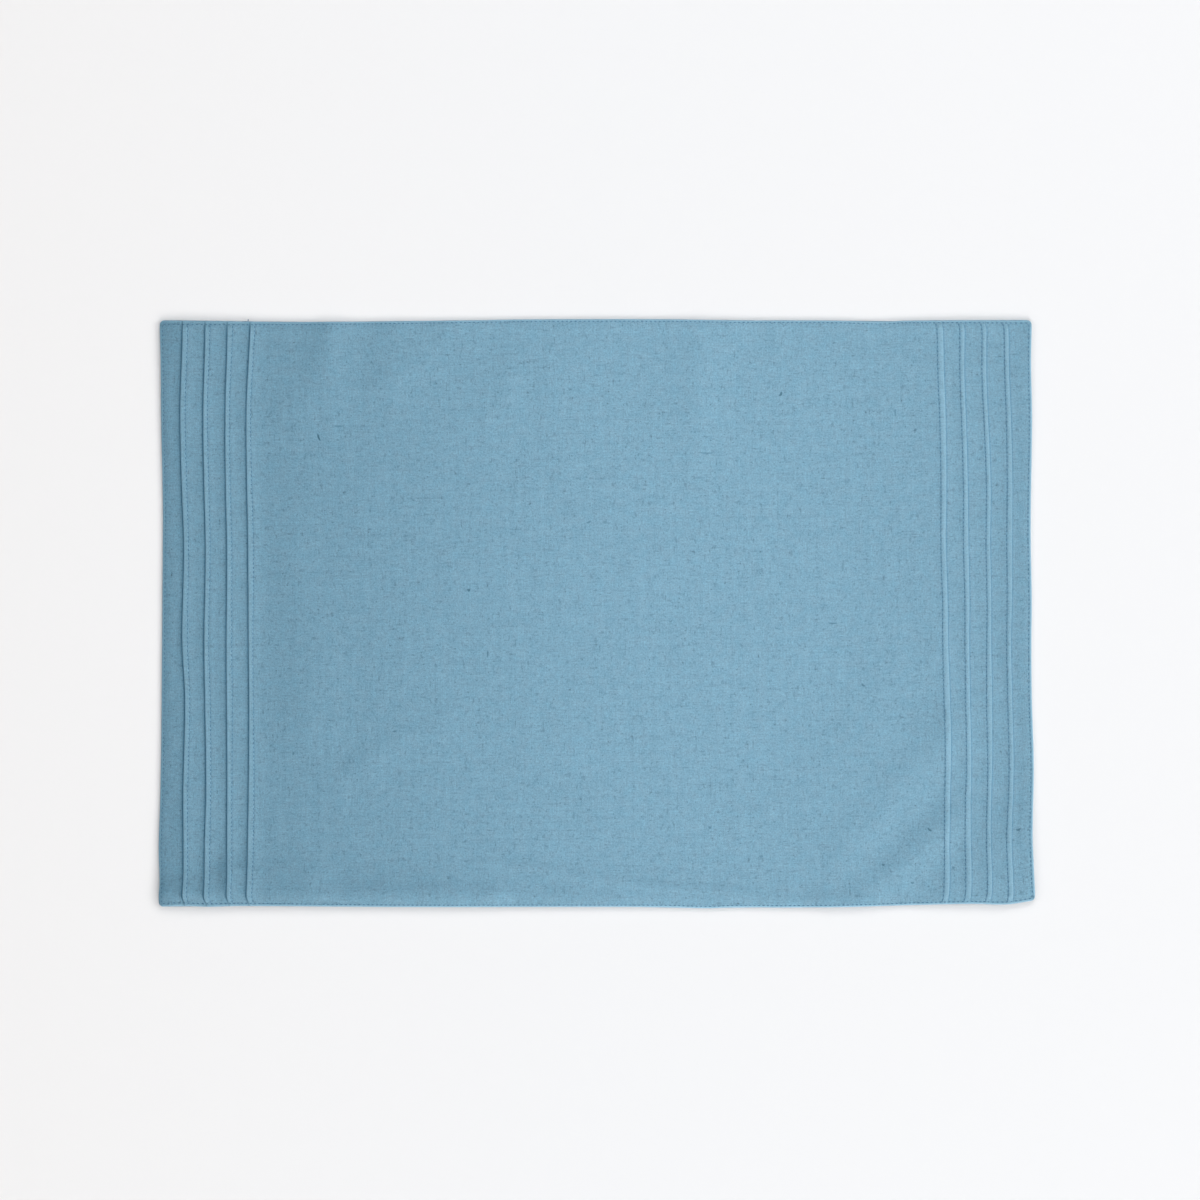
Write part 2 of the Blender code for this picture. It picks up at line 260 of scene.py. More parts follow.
# Slubs and dark fibres that show in the cloth, in millimetres and degrees.
SLUBS = (
    # x, y, half length, half width, turn, strength
    (-154.0, 97.6, 1.9, 0.45, -70, 1.0),
    (-70.9, 12.9, 0.8, 0.7, 0, 0.9),
    (101.9, 121.5, 1.3, 0.6, 60, 0.9),
    (-4.4, 50.6, 1.2, 0.4, 20, 0.6),
    (-60.4, -22.5, 0.4, 1.6, 0, 0.7),
    (-111.9, -65.2, 1.2, 0.4, 10, 0.6),
    (-167.9, -77.4, 0.9, 0.5, 80, 0.6),
    (147.4, -39.7, 1.2, 0.5, -35, 0.7),
    (99.7, -8.2, 0.9, 0.4, 0, 0.5),
    (130.7, -5.4, 2.2, 0.4, 0, 0.6),
    (60.9, 88.8, 3.0, 0.4, 0, 0.5),
    (-142.9, 103.7, 2.4, 0.4, 0, 0.5),
    (165.1, 110.9, 0.4, 1.8, 0, 0.5),
    (176.2, 101.5, 0.9, 0.5, 30, 0.5),
    (69.3, 41.7, 1.0, 0.4, -20, 0.5),
    (62.6, -118.4, 0.8, 0.6, 0, 0.6),
    (90.9, -134.5, 1.0, 0.5, 0, 0.5),
    (158.4, -138.9, 0.8, 0.6, 0, 0.7),
    (183.9, -119.5, 1.3, 0.5, -40, 0.8),
    (233.2, -119.5, 1.2, 0.6, 20, 0.8),
    (174.5, -148.9, 0.9, 0.6, 0, 0.6),
    (197.2, -140.6, 0.7, 0.7, 0, 0.6),
    (217.2, -127.8, 0.9, 0.5, 70, 0.6),
)

# The picture.
PICTURE_WIDTH = 0.6648  # of the table, from side to side
PICTURE_CENTRE = Vector((2.2 * MM, 7.3 * MM, 0.0))  # on the pattern
CAMERA_HEIGHT = 1.8
SENSOR_WIDTH = 36.0


# --- The pattern and how it settles -------------------------------------------------------


def soft_step(share):
    """Ease from 0 to 1."""
    share = min(max(share, 0.0), 1.0)
    return share * share * (3.0 - 2.0 * share)


@lru_cache(maxsize=None)
def curve_through(rows, at, column=1):
    """Read a column of a table at a place, on a smooth curve through its rows."""
    rows = sorted(rows)
    at = min(max(at, rows[0][0]), rows[-1][0])
    after = next(index for index, row in enumerate(rows) if index and at <= row[0])
    last = len(rows) - 1
    near = [rows[max(after - 2, 0)], rows[after - 1], rows[after], rows[min(after + 1, last)]]
    spots = [row[0] for row in near]
    values = [row[column] for row in near]
    span = spots[2] - spots[1]
    start_slope = (values[2] - values[0]) / (spots[2] - spots[0])
    end_slope = (values[3] - values[1]) / (spots[3] - spots[1])
    share = (at - spots[1]) / span
    eased = soft_step(share)
    bend = share * (1.0 - share) * span * ((1.0 - share) * start_slope - share * end_slope)
    return values[1] + (values[2] - values[1]) * eased + bend


def straight_between(knots, at):
    """Carry a number from the first of each pair to the second, straight between pairs."""
    for (low, low_to), (high, high_to) in zip(knots, knots[1:]):
        if at <= high:
            return low_to + (high_to - low_to) * (at - low) / (high - low)
    return knots[-1][1] + at - knots[-1][0]


def end_inset(x):
    """Distance of a pattern point from its short end."""
    return MAT_LENGTH / 2 - abs(x)


def side_inset(y):
    """Distance of a pattern point from its long side."""
    return MAT_DEPTH / 2 - abs(y)


def tuck_fold(index):
    """Distance of a tuck's fold from its end in the pattern."""
    return TUCK_PITCH * (index + 1)


def even_places(start, end, pitch):
    """Places between two ends, about a pitch apart, without the ends."""
    steps = max(round((end - start) / pitch), 1)
    return [start + (end - start) * step / steps for step in range(1, steps)]


def face_section():
    """List the face's points across one half, from the end inwards, as (inset, height, wear), where
    the wear is rubbing with painted sheen and painted light, or painted shade below 0.
    """
    points = [(-past * MM, 0.0, 0.0) for past, _, _ in reversed(ROLLED_IN[1:])]
    border = [inset * MM for inset in RIM_COLUMNS + BORDER_COLUMNS]
    # The rim is rubbed pale, with painted sheen.
    points += [(inset, 0.0, RIM_WEAR_AND_SHEEN * rim_rub_and_sheen(inset)) for inset in border]
    for index in range(TUCKS_PER_END):
        start = tuck_fold(index) + (1.0 - TUCK_SECTION[0][0]) * TUCK_WIDTH
        if index:
            # The plain cloth between two tucks is paled: painted light.
            gap = even_places(points[-1][0], start, GAP_PITCH)
            points += [(inset, 0.0, GAP_PAINTED_LIGHT) for inset in gap]
        for across, rise, wear_and_painted_light in TUCK_SECTION:
            points.append((tuck_fold(index) + (1.0 - across) * TUCK_WIDTH, rise * MM, wear_and_painted_light))
    return points


def underside_section():
    """List the underside's points across one half, from the end inwards, as insets."""
    rolled = [-past * MM for past, _, _ in reversed(ROLLED_IN[1:])]
    return rolled + [inset * MM for inset in UNDERSIDE_RIM_COLUMNS]


def pattern_section():
    """List the closed section as (x, z, wear): the face to the right, the underside back. The wear
    holds rubbing, painted sheen, painted light and painted shade.
    """
    half = MAT_LENGTH / 2
    left = [(inset - half, height, wear_and_painted_light) for inset, height, wear_and_painted_light in face_section()]
    right = [(half - inset, height, wear_and_painted_light) for inset, height, wear_and_painted_light in reversed(face_section())]
    middle = [(x, 0.0, 0.0) for x in even_places(left[-1][0], right[0][0], MIDDLE_PITCH)]
    under_x = [inset - half for inset in underside_section()]
    under_x += even_places(under_x[-1], -under_x[-1], UNDERSIDE_PITCH)
    under_x += [half - inset for inset in reversed(underside_section())]
    underside = [(x, -BODY_THICKNESS, 0.0) for x in reversed(under_x)]
    return left + middle + right + underside


def pattern_rows():
    """List the places along Y where the section stands."""
    half = MAT_DEPTH / 2
    insets = [-past * MM for past, _, _ in reversed(ROLLED_IN[1:])]
    insets += [inset * MM for inset in RIM_COLUMNS]
    near = [inset - half for inset in insets]
    far = [half - inset for inset in reversed(insets)]
    return near + even_places(near[-1], far[0], ROW_PITCH) + far


def roll_in(x, y):
    """Roll the unrolled edge in between the layers. Give the place, and how far it was past."""
    past = max(-end_inset(x), -side_inset(y), 0.0)
    if past > 0.0:
        inset = straight_between([(row[0] * MM, row[1] * MM) for row in ROLLED_IN], past)
        x = copysign(min(abs(x), MAT_LENGTH / 2 - inset), x)
        y = copysign(min(abs(y), MAT_DEPTH / 2 - inset), y)
    return x, y, past


def round_corner(x, y):
    """Draw the pattern's square corners in to round ones."""
    over_x = 1.0 - end_inset(x) / CORNER_RADIUS
    over_y = 1.0 - side_inset(y) / CORNER_RADIUS
    if over_x <= 0.0 or over_y <= 0.0:
        return x, y
    inward_x = over_x * (1.0 - (1.0 - over_y**2 / 2) ** 0.5) * CORNER_RADIUS
    inward_y = over_y * (1.0 - (1.0 - over_x**2 / 2) ** 0.5) * CORNER_RADIUS
    return x - copysign(inward_x, x), y - copysign(inward_y, y)


@lru_cache(maxsize=None)
def tuck_knots(table, y):
    """Pair each tuck line's distance from its end in the pattern with the one in the used mat."""
    calm_start = RIM_COLUMNS[-1] * MM
    knots = [(0.0, 0.0), (calm_start, calm_start)]
    for index in range(TUCKS_PER_END):
        fold = curve_through(table, y / MM, 1 + 2 * index) * MM
        sewn = curve_through(table, y / MM, 2 + 2 * index) * MM
        knots += [(tuck_fold(index), fold), (tuck_fold(index) + TUCK_WIDTH, sewn)]
    calm = knots[-1][0] + TUCK_REACH
    return knots + [(calm, calm)]


def follow_tucks(x, y):
    """Move a pattern point across the mat as the wavy tucks take it."""
    table = LEFT_TUCKS if x < 0 else RIGHT_TUCKS
    inset = straight_between(tuck_knots(table, y), end_inset(x))
    return copysign(MAT_LENGTH / 2 - inset, x)


def follow_edges(x, y):
    """Move a point as the four uneven edges take it, each less the further it is away."""
    right_share = 0.5 + x / MAT_LENGTH
    far_share = 0.5 + y / MAT_DEPTH
    out_right = curve_through(RIGHT_EDGE, y / MM) * right_share
    out_left = curve_through(LEFT_EDGE, y / MM) * (1.0 - right_share)
    out_far = curve_through(FAR_EDGE, x / MM) * far_share
    out_near = curve_through(NEAR_EDGE, x / MM) * (1.0 - far_share)
    return x + (out_right - out_left) * MM, y + (out_far - out_near) * MM


def swell_lift(x, y):
    """Height of the cloth off the table, in millimetres, at a place in millimetres."""
    lift = 0.0
    for centre_x, centre_y, half_length, half_width, turn, height in SWELLS:
        off_x = x - centre_x
        off_y = y - centre_y
        if hypot(off_x, off_y) > half_length:
            continue
        along = (off_x * cos(radians(turn)) + off_y * sin(radians(turn))) / half_length
        across = (off_y * cos(radians(turn)) - off_x * sin(radians(turn))) / half_width
        lift += height * max(0.0, 1.0 - along**2 - across**2) ** 2
    return lift


def distance_to_line(x, y, points):
    """Distance of a place from a line through some points."""
    nearest = []
    for (start_x, start_y), (end_x, end_y) in zip(points, points[1:]):
        run_x = end_x - start_x
        run_y = end_y - start_y
        share = ((x - start_x) * run_x + (y - start_y) * run_y) / (run_x**2 + run_y**2)
        share = min(max(share, 0.0), 1.0)
        nearest.append(hypot(x - start_x - share * run_x, y - start_y - share * run_y))
    return min(nearest)


@lru_cache(maxsize=None)
def crease_reach(points, half_width):
    """The box outside which a crease no longer shows, as its low and high x, low and high y."""
    reach = CREASE_REACH * half_width
    spots_x = [point[0] for point in points]
    spots_y = [point[1] for point in points]
    return min(spots_x) - reach, max(spots_x) + reach, min(spots_y) - reach, max(spots_y) + reach


def crease_lift(x, y):
    """Height of the creases, in millimetres, at a place in millimetres."""
    lift = 0.0
    for rise, half_width, points in CREASES:
        low_x, high_x, low_y, high_y = crease_reach(points, half_width)
        if low_x < x < high_x and low_y < y < high_y:
            lift += rise * exp(-((distance_to_line(x, y, points) / half_width) ** 2))
    return lift


def cockle_lift(x, y):
    """Height of the faint unevenness all over, in millimetres, at a place in millimetres."""
    return sum(noise.noise(Vector((x, y, pitch)) / pitch) * height for height, pitch in COCKLES)


def lift_off_table(x, y):
    """Height of the cloth off the table, never below it."""
    place = (x / MM, y / MM)
    lift = (swell_lift(*place) + crease_lift(*place) + cockle_lift(*place)) * MM
    return (lift + hypot(lift, TOUCH_DOWN)) / 2


def cloth_thickness(inset):
    """Thickness of the sheet: the border holds the seam allowance."""
    border = 1.0 - soft_step((inset - BORDER_WIDTH) / BORDER_SLOPE)
    return BODY_THICKNESS + (BORDER_THICKNESS - BODY_THICKNESS) * border


def rim_curve(inset):
    """Rise of the turned edge's quarter round, from 0 at the rim to 1."""
    share = min(max(inset / RIM_ROUND, 0.0), 1.0)
    return (1.0 - (1.0 - share) ** 2) ** 0.5


def rim_rub_and_sheen(inset):
    """Share of the rim's wear and painted sheen that is left this far inside it."""
    return exp(-((inset / RIM_WEAR_AND_SHEEN_WIDTH) ** 2))


def layer_level(inset, past):
    """Height of the face at the turned edge, as a share of the thickness."""
    if past > 0.0:
        return straight_between([(row[0] * MM, row[2]) for row in ROLLED_IN], past)
    return RIM_TOP + (1.0 - RIM_TOP) * rim_curve(inset)


def stitch_inset_at_end(x):
    """How far inside the nearer end its stitches run."""
    return LEFT_STITCH_INSET if x < 0.0 else RIGHT_STITCH_INSET


def stitch_inset_at_side(x, y):
    """How far inside the nearer long side its stitches run, at a place along it."""
    return curve_through(NEAR_STITCHES if y < 0.0 else FAR_STITCHES, x / MM) * MM


def seam_draw(x, y):
    """How far the edge stitching draws the cloth down."""
    gap_at_end = abs(end_inset(x) - stitch_inset_at_end(x))
    gap_at_side = abs(side_inset(y) - stitch_inset_at_side(x, y))
    return SEAM_DRAW * exp(-((min(gap_at_end, gap_at_side) / SEAM_DRAW_WIDTH) ** 2))


def tuck_shows(x, y):
    """How much of a tuck is left where the edge stitching holds it down, up to 1."""
    past_seam = side_inset(y) - stitch_inset_at_side(x, y)
    return TUCK_PRESS + (1.0 - TUCK_PRESS) * soft_step(past_seam / TUCK_PRESS_LENGTH)


def settle(point):
    """Take a pattern point to where it lies in the used mat."""
    pattern_x, pattern_y, layer = point
    x, y, past = roll_in(pattern_x, pattern_y)
    inset = min(end_inset(x), side_inset(y))
    round_x, round_y = round_corner(follow_tucks(x, y), y)
    lying_x, lying_y = follow_edges(round_x, round_y)
    thickness = cloth_thickness(inset)
    level = layer_level(inset, past)
    drawn = seam_draw(x, y)
    if layer < 0.0:
        height = thickness * (1.0 - level) + drawn * SEAM_DRAW_BELOW
    else:
        height = thickness * level + layer * tuck_shows(x, y) - drawn
    return Vector((lying_x, lying_y, height + lift_off_table(lying_x, lying_y)))


def find_place():
    """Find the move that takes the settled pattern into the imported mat's box."""
    half_length = MAT_LENGTH / 2
    half_depth = MAT_DEPTH / 2
    along_x = even_places(-half_length, half_length, MM)
    along_y = even_places(-half_depth, half_depth, MM)
    rim = [(x, side * half_depth) for x in along_x for side in (-1, 1)]
    rim += [(side * half_length, y) for y in along_y for side in (-1, 1)]
    settled = [settle(Vector((x, y, 0.0))) for x, y in rim]
    low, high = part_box("placemat")
    move = Vector((0.0, 0.0, 0.0))
    for axis in range(2):
        places = [spot[axis] for spot in settled]
        move[axis] = (low[axis] + high[axis] - min(places) - max(places)) / 2
    return move


# --- The mat -------------------------------------------------------------------------------


def lay_pattern(mesh, section, rows):
    """Lay a grid out as the pattern: columns along the closed section, rows along Y."""
    columns = section + section[:1]
    runs = [0.0]
    for before, after in zip(columns, columns[1:]):
        runs.append(runs[-1] + hypot(after[0] - before[0], after[1] - before[1]))
    bmesh.ops.create_grid(mesh, x_segments=len(columns) - 1, y_segments=len(rows) - 1, size=1.0)
    # Above 0 this pales the cloth by rubbing, painted sheen and painted light; below 0 it is
    # painted shade.
    wear_and_painted_light_layer = mesh.verts.layers.float.new("wear_and_painted_light")
    weave_map = mesh.loops.layers.uv.new("weave")
    for vert in mesh.verts:
        column = round((vert.co.x + 1.0) / 2.0 * (len(columns) - 1))
        row = round((vert.co.y + 1.0) / 2.0 * (len(rows) - 1))
        x, height, wear_and_painted_light = columns[column]
        wear_and_painted_light *= tuck_shows(x, rows[row])
        # The long sides' rims are rubbed pale, with painted sheen.
        vert[wear_and_painted_light_layer] = wear_and_painted_light + (RIM_WEAR_AND_SHEEN - wear_and_painted_light) * rim_rub_and_sheen(side_inset(rows[row]))
        vert.co = (x, rows[row], height)
        for loop in vert.link_loops:
            loop[weave_map].uv = (runs[column], rows[row])


def close_pattern(mesh):
    """Join the pattern's first column to its last, and fill the narrow band at both long sides."""
    bmesh.ops.remove_doubles(mesh, verts=mesh.verts, dist=WELD)
    for outwards in (-1.0, 1.0):
        open_edges = [edge for edge in mesh.edges if edge.is_boundary]
        band = [edge for edge in open_edges if edge.verts[0].co.y * outwards > 0.0]
        bmesh.ops.triangle_fill(mesh, edges=band, use_beauty=True, normal=(0.0, outwards, 0.0))


def make_mat(place, cloth):
    """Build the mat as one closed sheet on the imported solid's folds."""
    mesh = bmesh.new()
    lay_pattern(mesh, pattern_section(), pattern_rows())
    close_pattern(mesh)
    for vert in mesh.verts:
        vert.co = settle(vert.co) + place
    bmesh.ops.remove_doubles(mesh, verts=mesh.verts, dist=WELD)
    bmesh.ops.recalc_face_normals(mesh, faces=mesh.faces)
    return finish_piece("placemat_cloth", mesh, cloth)


def finish_piece(name, mesh, material):
    """Make a smooth-shaded object of a mesh and put it on the mat's body."""
    shape = bpy.data.meshes.new(name)
    mesh.to_mesh(shape)
    mesh.free()
    shape.shade_smooth()
    shape.materials.append(material)
    piece = bpy.data.objects.new(name, shape)
    bpy.context.scene.collection.objects.link(piece)
    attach(piece, "root")
    return piece


# --- The sewing ----------------------------------------------------------------------------


def tuck_top(x):
    """Height of the cloth's upper surface across the tucks, above the plain cloth."""
    top = [(across, rise * MM) for across, rise, _ in reversed(TUCK_SECTION[FOLD_ROW:])]
    inset = end_inset(x)
    for index in range(TUCKS_PER_END):
        across = 1.0 - (inset - tuck_fold(index)) / TUCK_WIDTH
        if top[0][0] < across <= top[-1][0]:
            return straight_between(top, across)
    return 0.0


def face_point(x, y):
    """Where a place on the pattern's face lies."""
    return settle(Vector((x, y, tuck_top(x))))


def underside_point(x, y):
    """Where the thread lies at a place on the pattern's underside."""
    return settle(Vector((x, y, -BODY_THICKNESS))) + Vector((0.0, 0.0, UNDERSIDE_THREAD_SINK))


def make_stitch_shape():
    """Shape one stitch lying along Z, its back to -Y, with both ends bent into the cloth."""
    mesh = bmesh.new()
    mesh.loops.layers.uv.new("along_thread")
    size = Matrix.Diagonal((THREAD_RADIUS * THREAD_SPREAD, THREAD_RADIUS, STITCH_LENGTH / 2, 1.0))
    bmesh.ops.create_uvsphere(
        mesh, u_segments=6, v_segments=6, radius=1.0, matrix=size, calc_uvs=True
    )
    for vert in mesh.verts:
        along = vert.co.z / (STITCH_LENGTH / 2)
        vert.co.y += THREAD_RISE - THREAD_DIP * along**2
    shape = bpy.data.meshes.new("stitch")
    mesh.to_mesh(shape)
    mesh.free()
    return shape


def lay_stitch(mesh, stitch, start, end, outwards, chance):
    """Lay one stitch between two needle holes."""
    forward = (end - start).normalized()
    lean = forward.cross(outwards) * chance.uniform(-STITCH_LEAN, STITCH_LEAN)
    forward = (forward + lean).normalized()
    sideways = outwards.cross(forward).normalized()
    raised = forward.cross(sideways)
    turn = Matrix((sideways, raised, forward)).transposed().to_4x4()
    length = Matrix.Diagonal((1.0, 1.0, chance.uniform(*STITCH_STRETCH), 1.0))
    shape = stitch.copy()
    shape.transform(Matrix.Translation((start + end) / 2) @ turn @ length)
    mesh.from_mesh(shape)
    bpy.data.meshes.remove(shape)


def needle_places(start, end):
    """List the needle holes of a straight line of the pattern, from one end to the other."""
    run_x = end[0] - start[0]
    run_y = end[1] - start[1]
    count = round(hypot(run_x, run_y) / STITCH_PITCH)
    shares = [index / count for index in range(count + 1)]
    return [(start[0] + run_x * share, start[1] + run_y * share) for share in shares]


def sew(mesh, stitch, places, point_at, outwards, chance):
    """Lay a stitch between each needle hole and the next."""
    holes = [point_at(x, y) for x, y in places]
    for before, after in zip(holes, holes[1:]):
        lay_stitch(mesh, stitch, before, after, outwards, chance)


def on_side_seam(x, y):
    """Move a place to the line of stitches along the nearer long side."""
    return x, copysign(MAT_DEPTH / 2 - stitch_inset_at_side(x, y), y)


def make_edge_stitching(name, place, thread, point_at, outwards, seed):
    """Sew once round the mat, just inside its edge."""
    mesh = bmesh.new()
    stitch = make_stitch_shape()
    chance = Random(seed)
    left = stitch_inset_at_end(-1.0) - MAT_LENGTH / 2
    right = MAT_LENGTH / 2 - stitch_inset_at_end(1.0)
    near_left = on_side_seam(left, -1.0)
    near_right = on_side_seam(right, -1.0)
    far_right = on_side_seam(right, 1.0)
    far_left = on_side_seam(left, 1.0)
    near_side = [on_side_seam(x, y) for x, y in needle_places(near_left, near_right)]
    far_side = [on_side_seam(x, y) for x, y in needle_places(far_right, far_left)]
    right_end = needle_places(near_right, far_right)
    left_end = needle_places(far_left, near_left)
    out = Vector((0.0, 0.0, outwards))
    for places in (near_side, right_end, far_side, left_end):
        sew(mesh, stitch, places, point_at, out, chance)
    if outwards > 0.0:
        x, from_y, to_y = (number * MM for number in LOOSE_END)
        start = Vector((x, from_y, BODY_THICKNESS))
        end = Vector((x, to_y, BODY_THICKNESS))
        lay_stitch(mesh, stitch, start, end, out, chance)
    bmesh.ops.translate(mesh, verts=mesh.verts, vec=place)
    return finish_piece(name, mesh, thread)


def make_tuck_stitching(name, place, thread, side, seed):
    """Sew the four tucks of one end."""
    mesh = bmesh.new()
    stitch = make_stitch_shape()
    chance = Random(seed)
    for index in range(TUCKS_PER_END):
        x = side * (MAT_LENGTH / 2 - tuck_fold(index) - TUCK_WIDTH)
        places = needle_places(on_side_seam(x, -1.0), on_side_seam(x, 1.0))
        sew(mesh, stitch, places, face_point, Vector((0.0, 0.0, 1.0)), chance)
    bmesh.ops.translate(mesh, verts=mesh.verts, vec=place)
    return finish_piece(name, mesh, thread)


# --- Shader building -----------------------------------------------------------------------


def add_node(tree, kind, inputs=None, **settings):
    """Add a node, set its properties, and feed its inputs from sockets or plain values."""
    node = tree.nodes.new(kind)
    for name, value in settings.items():
        setattr(node, name, value)
    for name, value in (inputs or {}).items():
        if isinstance(value, bpy.types.NodeSocket):
            tree.links.new(value, node.inputs[name])
        else:
            node.inputs[name].default_value = value
    return node


def calculate(tree, operation, first, second=0.0, third=0.0):
    """Add a Math node and give its result."""
    node = add_node(tree, "ShaderNodeMath", {0: first, 1: second, 2: third}, operation=operation)
    return node.outputs[0]


def scale_vector(tree, vector, scale, offset=(0.0, 0.0, 0.0)):
    """Multiply a vector and move it."""
    node = add_node(
        tree, "ShaderNodeVectorMath", {0: vector, 1: scale, 2: offset}, operation="MULTIPLY_ADD"
    )
    return node.outputs[0]


def noise_at(tree, vector, detail=0.0, roughness=0.5):
    """Add a noise pattern one unit across and give its value."""
    inputs = {"Vector": vector, "Scale": 1.0, "Detail": detail, "Roughness": roughness}
    return add_node(tree, "ShaderNodeTexNoise", inputs).outputs["Fac"]


def spread(tree, value, low, high, to_low, to_high, smooth=False):
    """Carry a value from one range to another."""
    inputs = {
        "Value": value, "From Min": low, "From Max": high, "To Min": to_low, "To Max": to_high,
    }
    kind = "SMOOTHSTEP" if smooth else "LINEAR"
    return add_node(tree, "ShaderNodeMapRange", inputs, interpolation_type=kind).outputs[0]


def mix_colours(tree, share, first, second):
    """Mix two colours."""
    inputs = {0: share, 6: first, 7: second}
    node = add_node(tree, "ShaderNodeMix", inputs, data_type="RGBA", clamp_factor=True)
    return node.outputs[2]


def start_material(name):
    """Start a material. Give it, its node tree and its shader."""
    material = bpy.data.materials.new(name)
    material.use_nodes = True
    tree = material.node_tree
    return material, tree, tree.nodes["Principled BSDF"]


def raise_relief(tree, shader, relief, height):
    """Bump a shader's surface by a relief."""
    inputs = {"Strength": 0.5, "Distance": height, "Height": relief}
    bump = add_node(tree, "ShaderNodeBump", inputs)
    tree.links.new(bump.outputs[0], shader.inputs["Normal"])


def start_group(name, inputs, outputs):
    """Start a node group. Give its tree, and the sockets of its inputs and its outputs."""
    tree = bpy.data.node_groups.new(name, "ShaderNodeTree")
    for label, kind, value in inputs:
        socket = tree.interface.new_socket(name=label, in_out="INPUT", socket_type=kind)
        socket.default_value = value
    for label, kind in outputs:
        tree.interface.new_socket(name=label, in_out="OUTPUT", socket_type=kind)
    entry = tree.nodes.new("NodeGroupInput")
    leave = tree.nodes.new("NodeGroupOutput")
    return tree, entry.outputs, leave.inputs


def use_group(tree, group, inputs):
    """Place a node group in a material and give its outputs."""
    return add_node(tree, "ShaderNodeGroup", inputs, node_tree=group).outputs


NUMBER = "NodeSocketFloat"
VECTOR = "NodeSocketVector"


def make_yarn_streaks():
    """Streaks of lighter and darker yarn that run one way, from -1 to 1."""
    tree, given, made = start_group(
        "yarn_streaks",
        [("Vector", VECTOR, (0.0, 0.0, 0.0)), ("Scale", VECTOR, (1.0, 1.0, 1.0)),
         ("Offset", VECTOR, (0.0, 0.0, 0.0))],
        [("Streak", NUMBER), ("Slub", NUMBER)],
    )
    placed = scale_vector(tree, given["Vector"], given["Scale"], given["Offset"])
    streak = noise_at(tree, placed, detail=1.0)
    tree.links.new(spread(tree, streak, 0.25, 0.75, -1.0, 1.0), made["Streak"])
    elsewhere = scale_vector(tree, placed, (0.7, 0.7, 0.7), (31.7, 12.3, 4.0))
    slub = noise_at(tree, elsewhere)
    tree.links.new(spread(tree, slub, 0.66, 0.86, 0.0, 1.0, smooth=True), made["Slub"])
    return tree


def make_plain_weave():
    """The over and under of a plain weave: its relief, and the gaps between its threads, for
    painted shade.
    """
    tree, given, made = start_group(
        "plain_weave",
        [("Vector", VECTOR, (0.0, 0.0, 0.0)), ("Threads per metre", NUMBER, 2000.0)],
        [("Relief", NUMBER), ("Shaded gap", NUMBER)],
    )
    scale = calculate(tree, "MULTIPLY", given["Threads per metre"], pi)
    placed = add_node(
        tree, "ShaderNodeVectorMath", {0: given["Vector"], "Scale": scale}, operation="SCALE"
    )
    parts = add_node(tree, "ShaderNodeSeparateXYZ", {0: placed.outputs[0]})
    across = calculate(tree, "SINE", parts.outputs["X"])
    along = calculate(tree, "SINE", parts.outputs["Y"])
    over = calculate(tree, "MULTIPLY", across, along)
    warp_round = calculate(tree, "ABSOLUTE", across)
    weft_round = calculate(tree, "ABSOLUTE", along)
    crowns = calculate(tree, "MAXIMUM", warp_round, weft_round)
    lift = calculate(tree, "MULTIPLY", over, 0.35)
    tree.links.new(calculate(tree, "ADD", crowns, lift), made["Relief"])
    tree.links.new(spread(tree, crowns, 0.15, 0.75, 1.0, 0.0, smooth=True), made["Shaded gap"])
    return tree


def make_slub_mark():
    """One slub or dark fibre: an uneven long dot."""
    tree, given, made = start_group(
        "slub_mark",
        [("Vector", VECTOR, (0.0, 0.0, 0.0)), ("Place", VECTOR, (0.0, 0.0, 0.0)),
         ("Turn", NUMBER, 0.0), ("Half length", NUMBER, 0.001), ("Half width", NUMBER, 0.0005)],
        [("Mask", NUMBER)],
    )
    off = add_node(
        tree, "ShaderNodeVectorMath", {0: given["Vector"], 1: given["Place"]}, operation="SUBTRACT"
    )
    turned = add_node(
        tree, "ShaderNodeVectorRotate", {"Vector": off.outputs[0], "Angle": given["Turn"]},
        rotation_type="Z_AXIS",
    )
    parts = add_node(tree, "ShaderNodeSeparateXYZ", {0: turned.outputs[0]})
    along = calculate(tree, "DIVIDE", parts.outputs["X"], given["Half length"])
    bend = calculate(tree, "MULTIPLY", calculate(tree, "MULTIPLY", along, along), 0.5)
    across = calculate(tree, "DIVIDE", parts.outputs["Y"], given["Half width"])
    bent = calculate(tree, "SUBTRACT", across, bend)
    reach = calculate(tree, "ADD", calculate(tree, "MULTIPLY", along, along),
                      calculate(tree, "MULTIPLY", bent, bent))
    tree.links.new(spread(tree, reach, 0.4, 2.0, 1.0, 0.0, smooth=True), made["Mask"])
    return tree


def make_dye_drift():
    """Soft drift of the dye between its deeper and its paler blue, from 0 to 1."""
    tree, given, made = start_group(
        "dye_drift",
        [("Vector", VECTOR, (0.0, 0.0, 0.0)), ("Patch", NUMBER, 0.006)],
        [("Drift", NUMBER)],
    )
    per_metre = calculate(tree, "DIVIDE", 1.0, given["Patch"])
    placed = add_node(
        tree, "ShaderNodeVectorMath", {0: given["Vector"], "Scale": per_metre}, operation="SCALE"
    )
    drift = noise_at(tree, placed.outputs[0], detail=2.0, roughness=0.6)
    tree.links.new(spread(tree, drift, 0.32, 0.68, 0.0, 1.0), made["Drift"])
    return tree


def make_fibre_grain():
    """The fuzz of short fibres, from -1 to 1."""
    tree, given, made = start_group(
        "fibre_grain",
        [("Vector", VECTOR, (0.0, 0.0, 0.0)), ("Grain", NUMBER, 0.0003)],
        [("Fuzz", NUMBER)],
    )
    per_metre = calculate(tree, "DIVIDE", 1.0, given["Grain"])
    placed = add_node(
        tree, "ShaderNodeVectorMath", {0: given["Vector"], "Scale": per_metre}, operation="SCALE"
    )
    fuzz = noise_at(tree, placed.outputs[0], detail=2.0, roughness=0.7)
    tree.links.new(spread(tree, fuzz, 0.3, 0.7, -1.0, 1.0), made["Fuzz"])
    return tree


# --- The cloth and the thread --------------------------------------------------------------

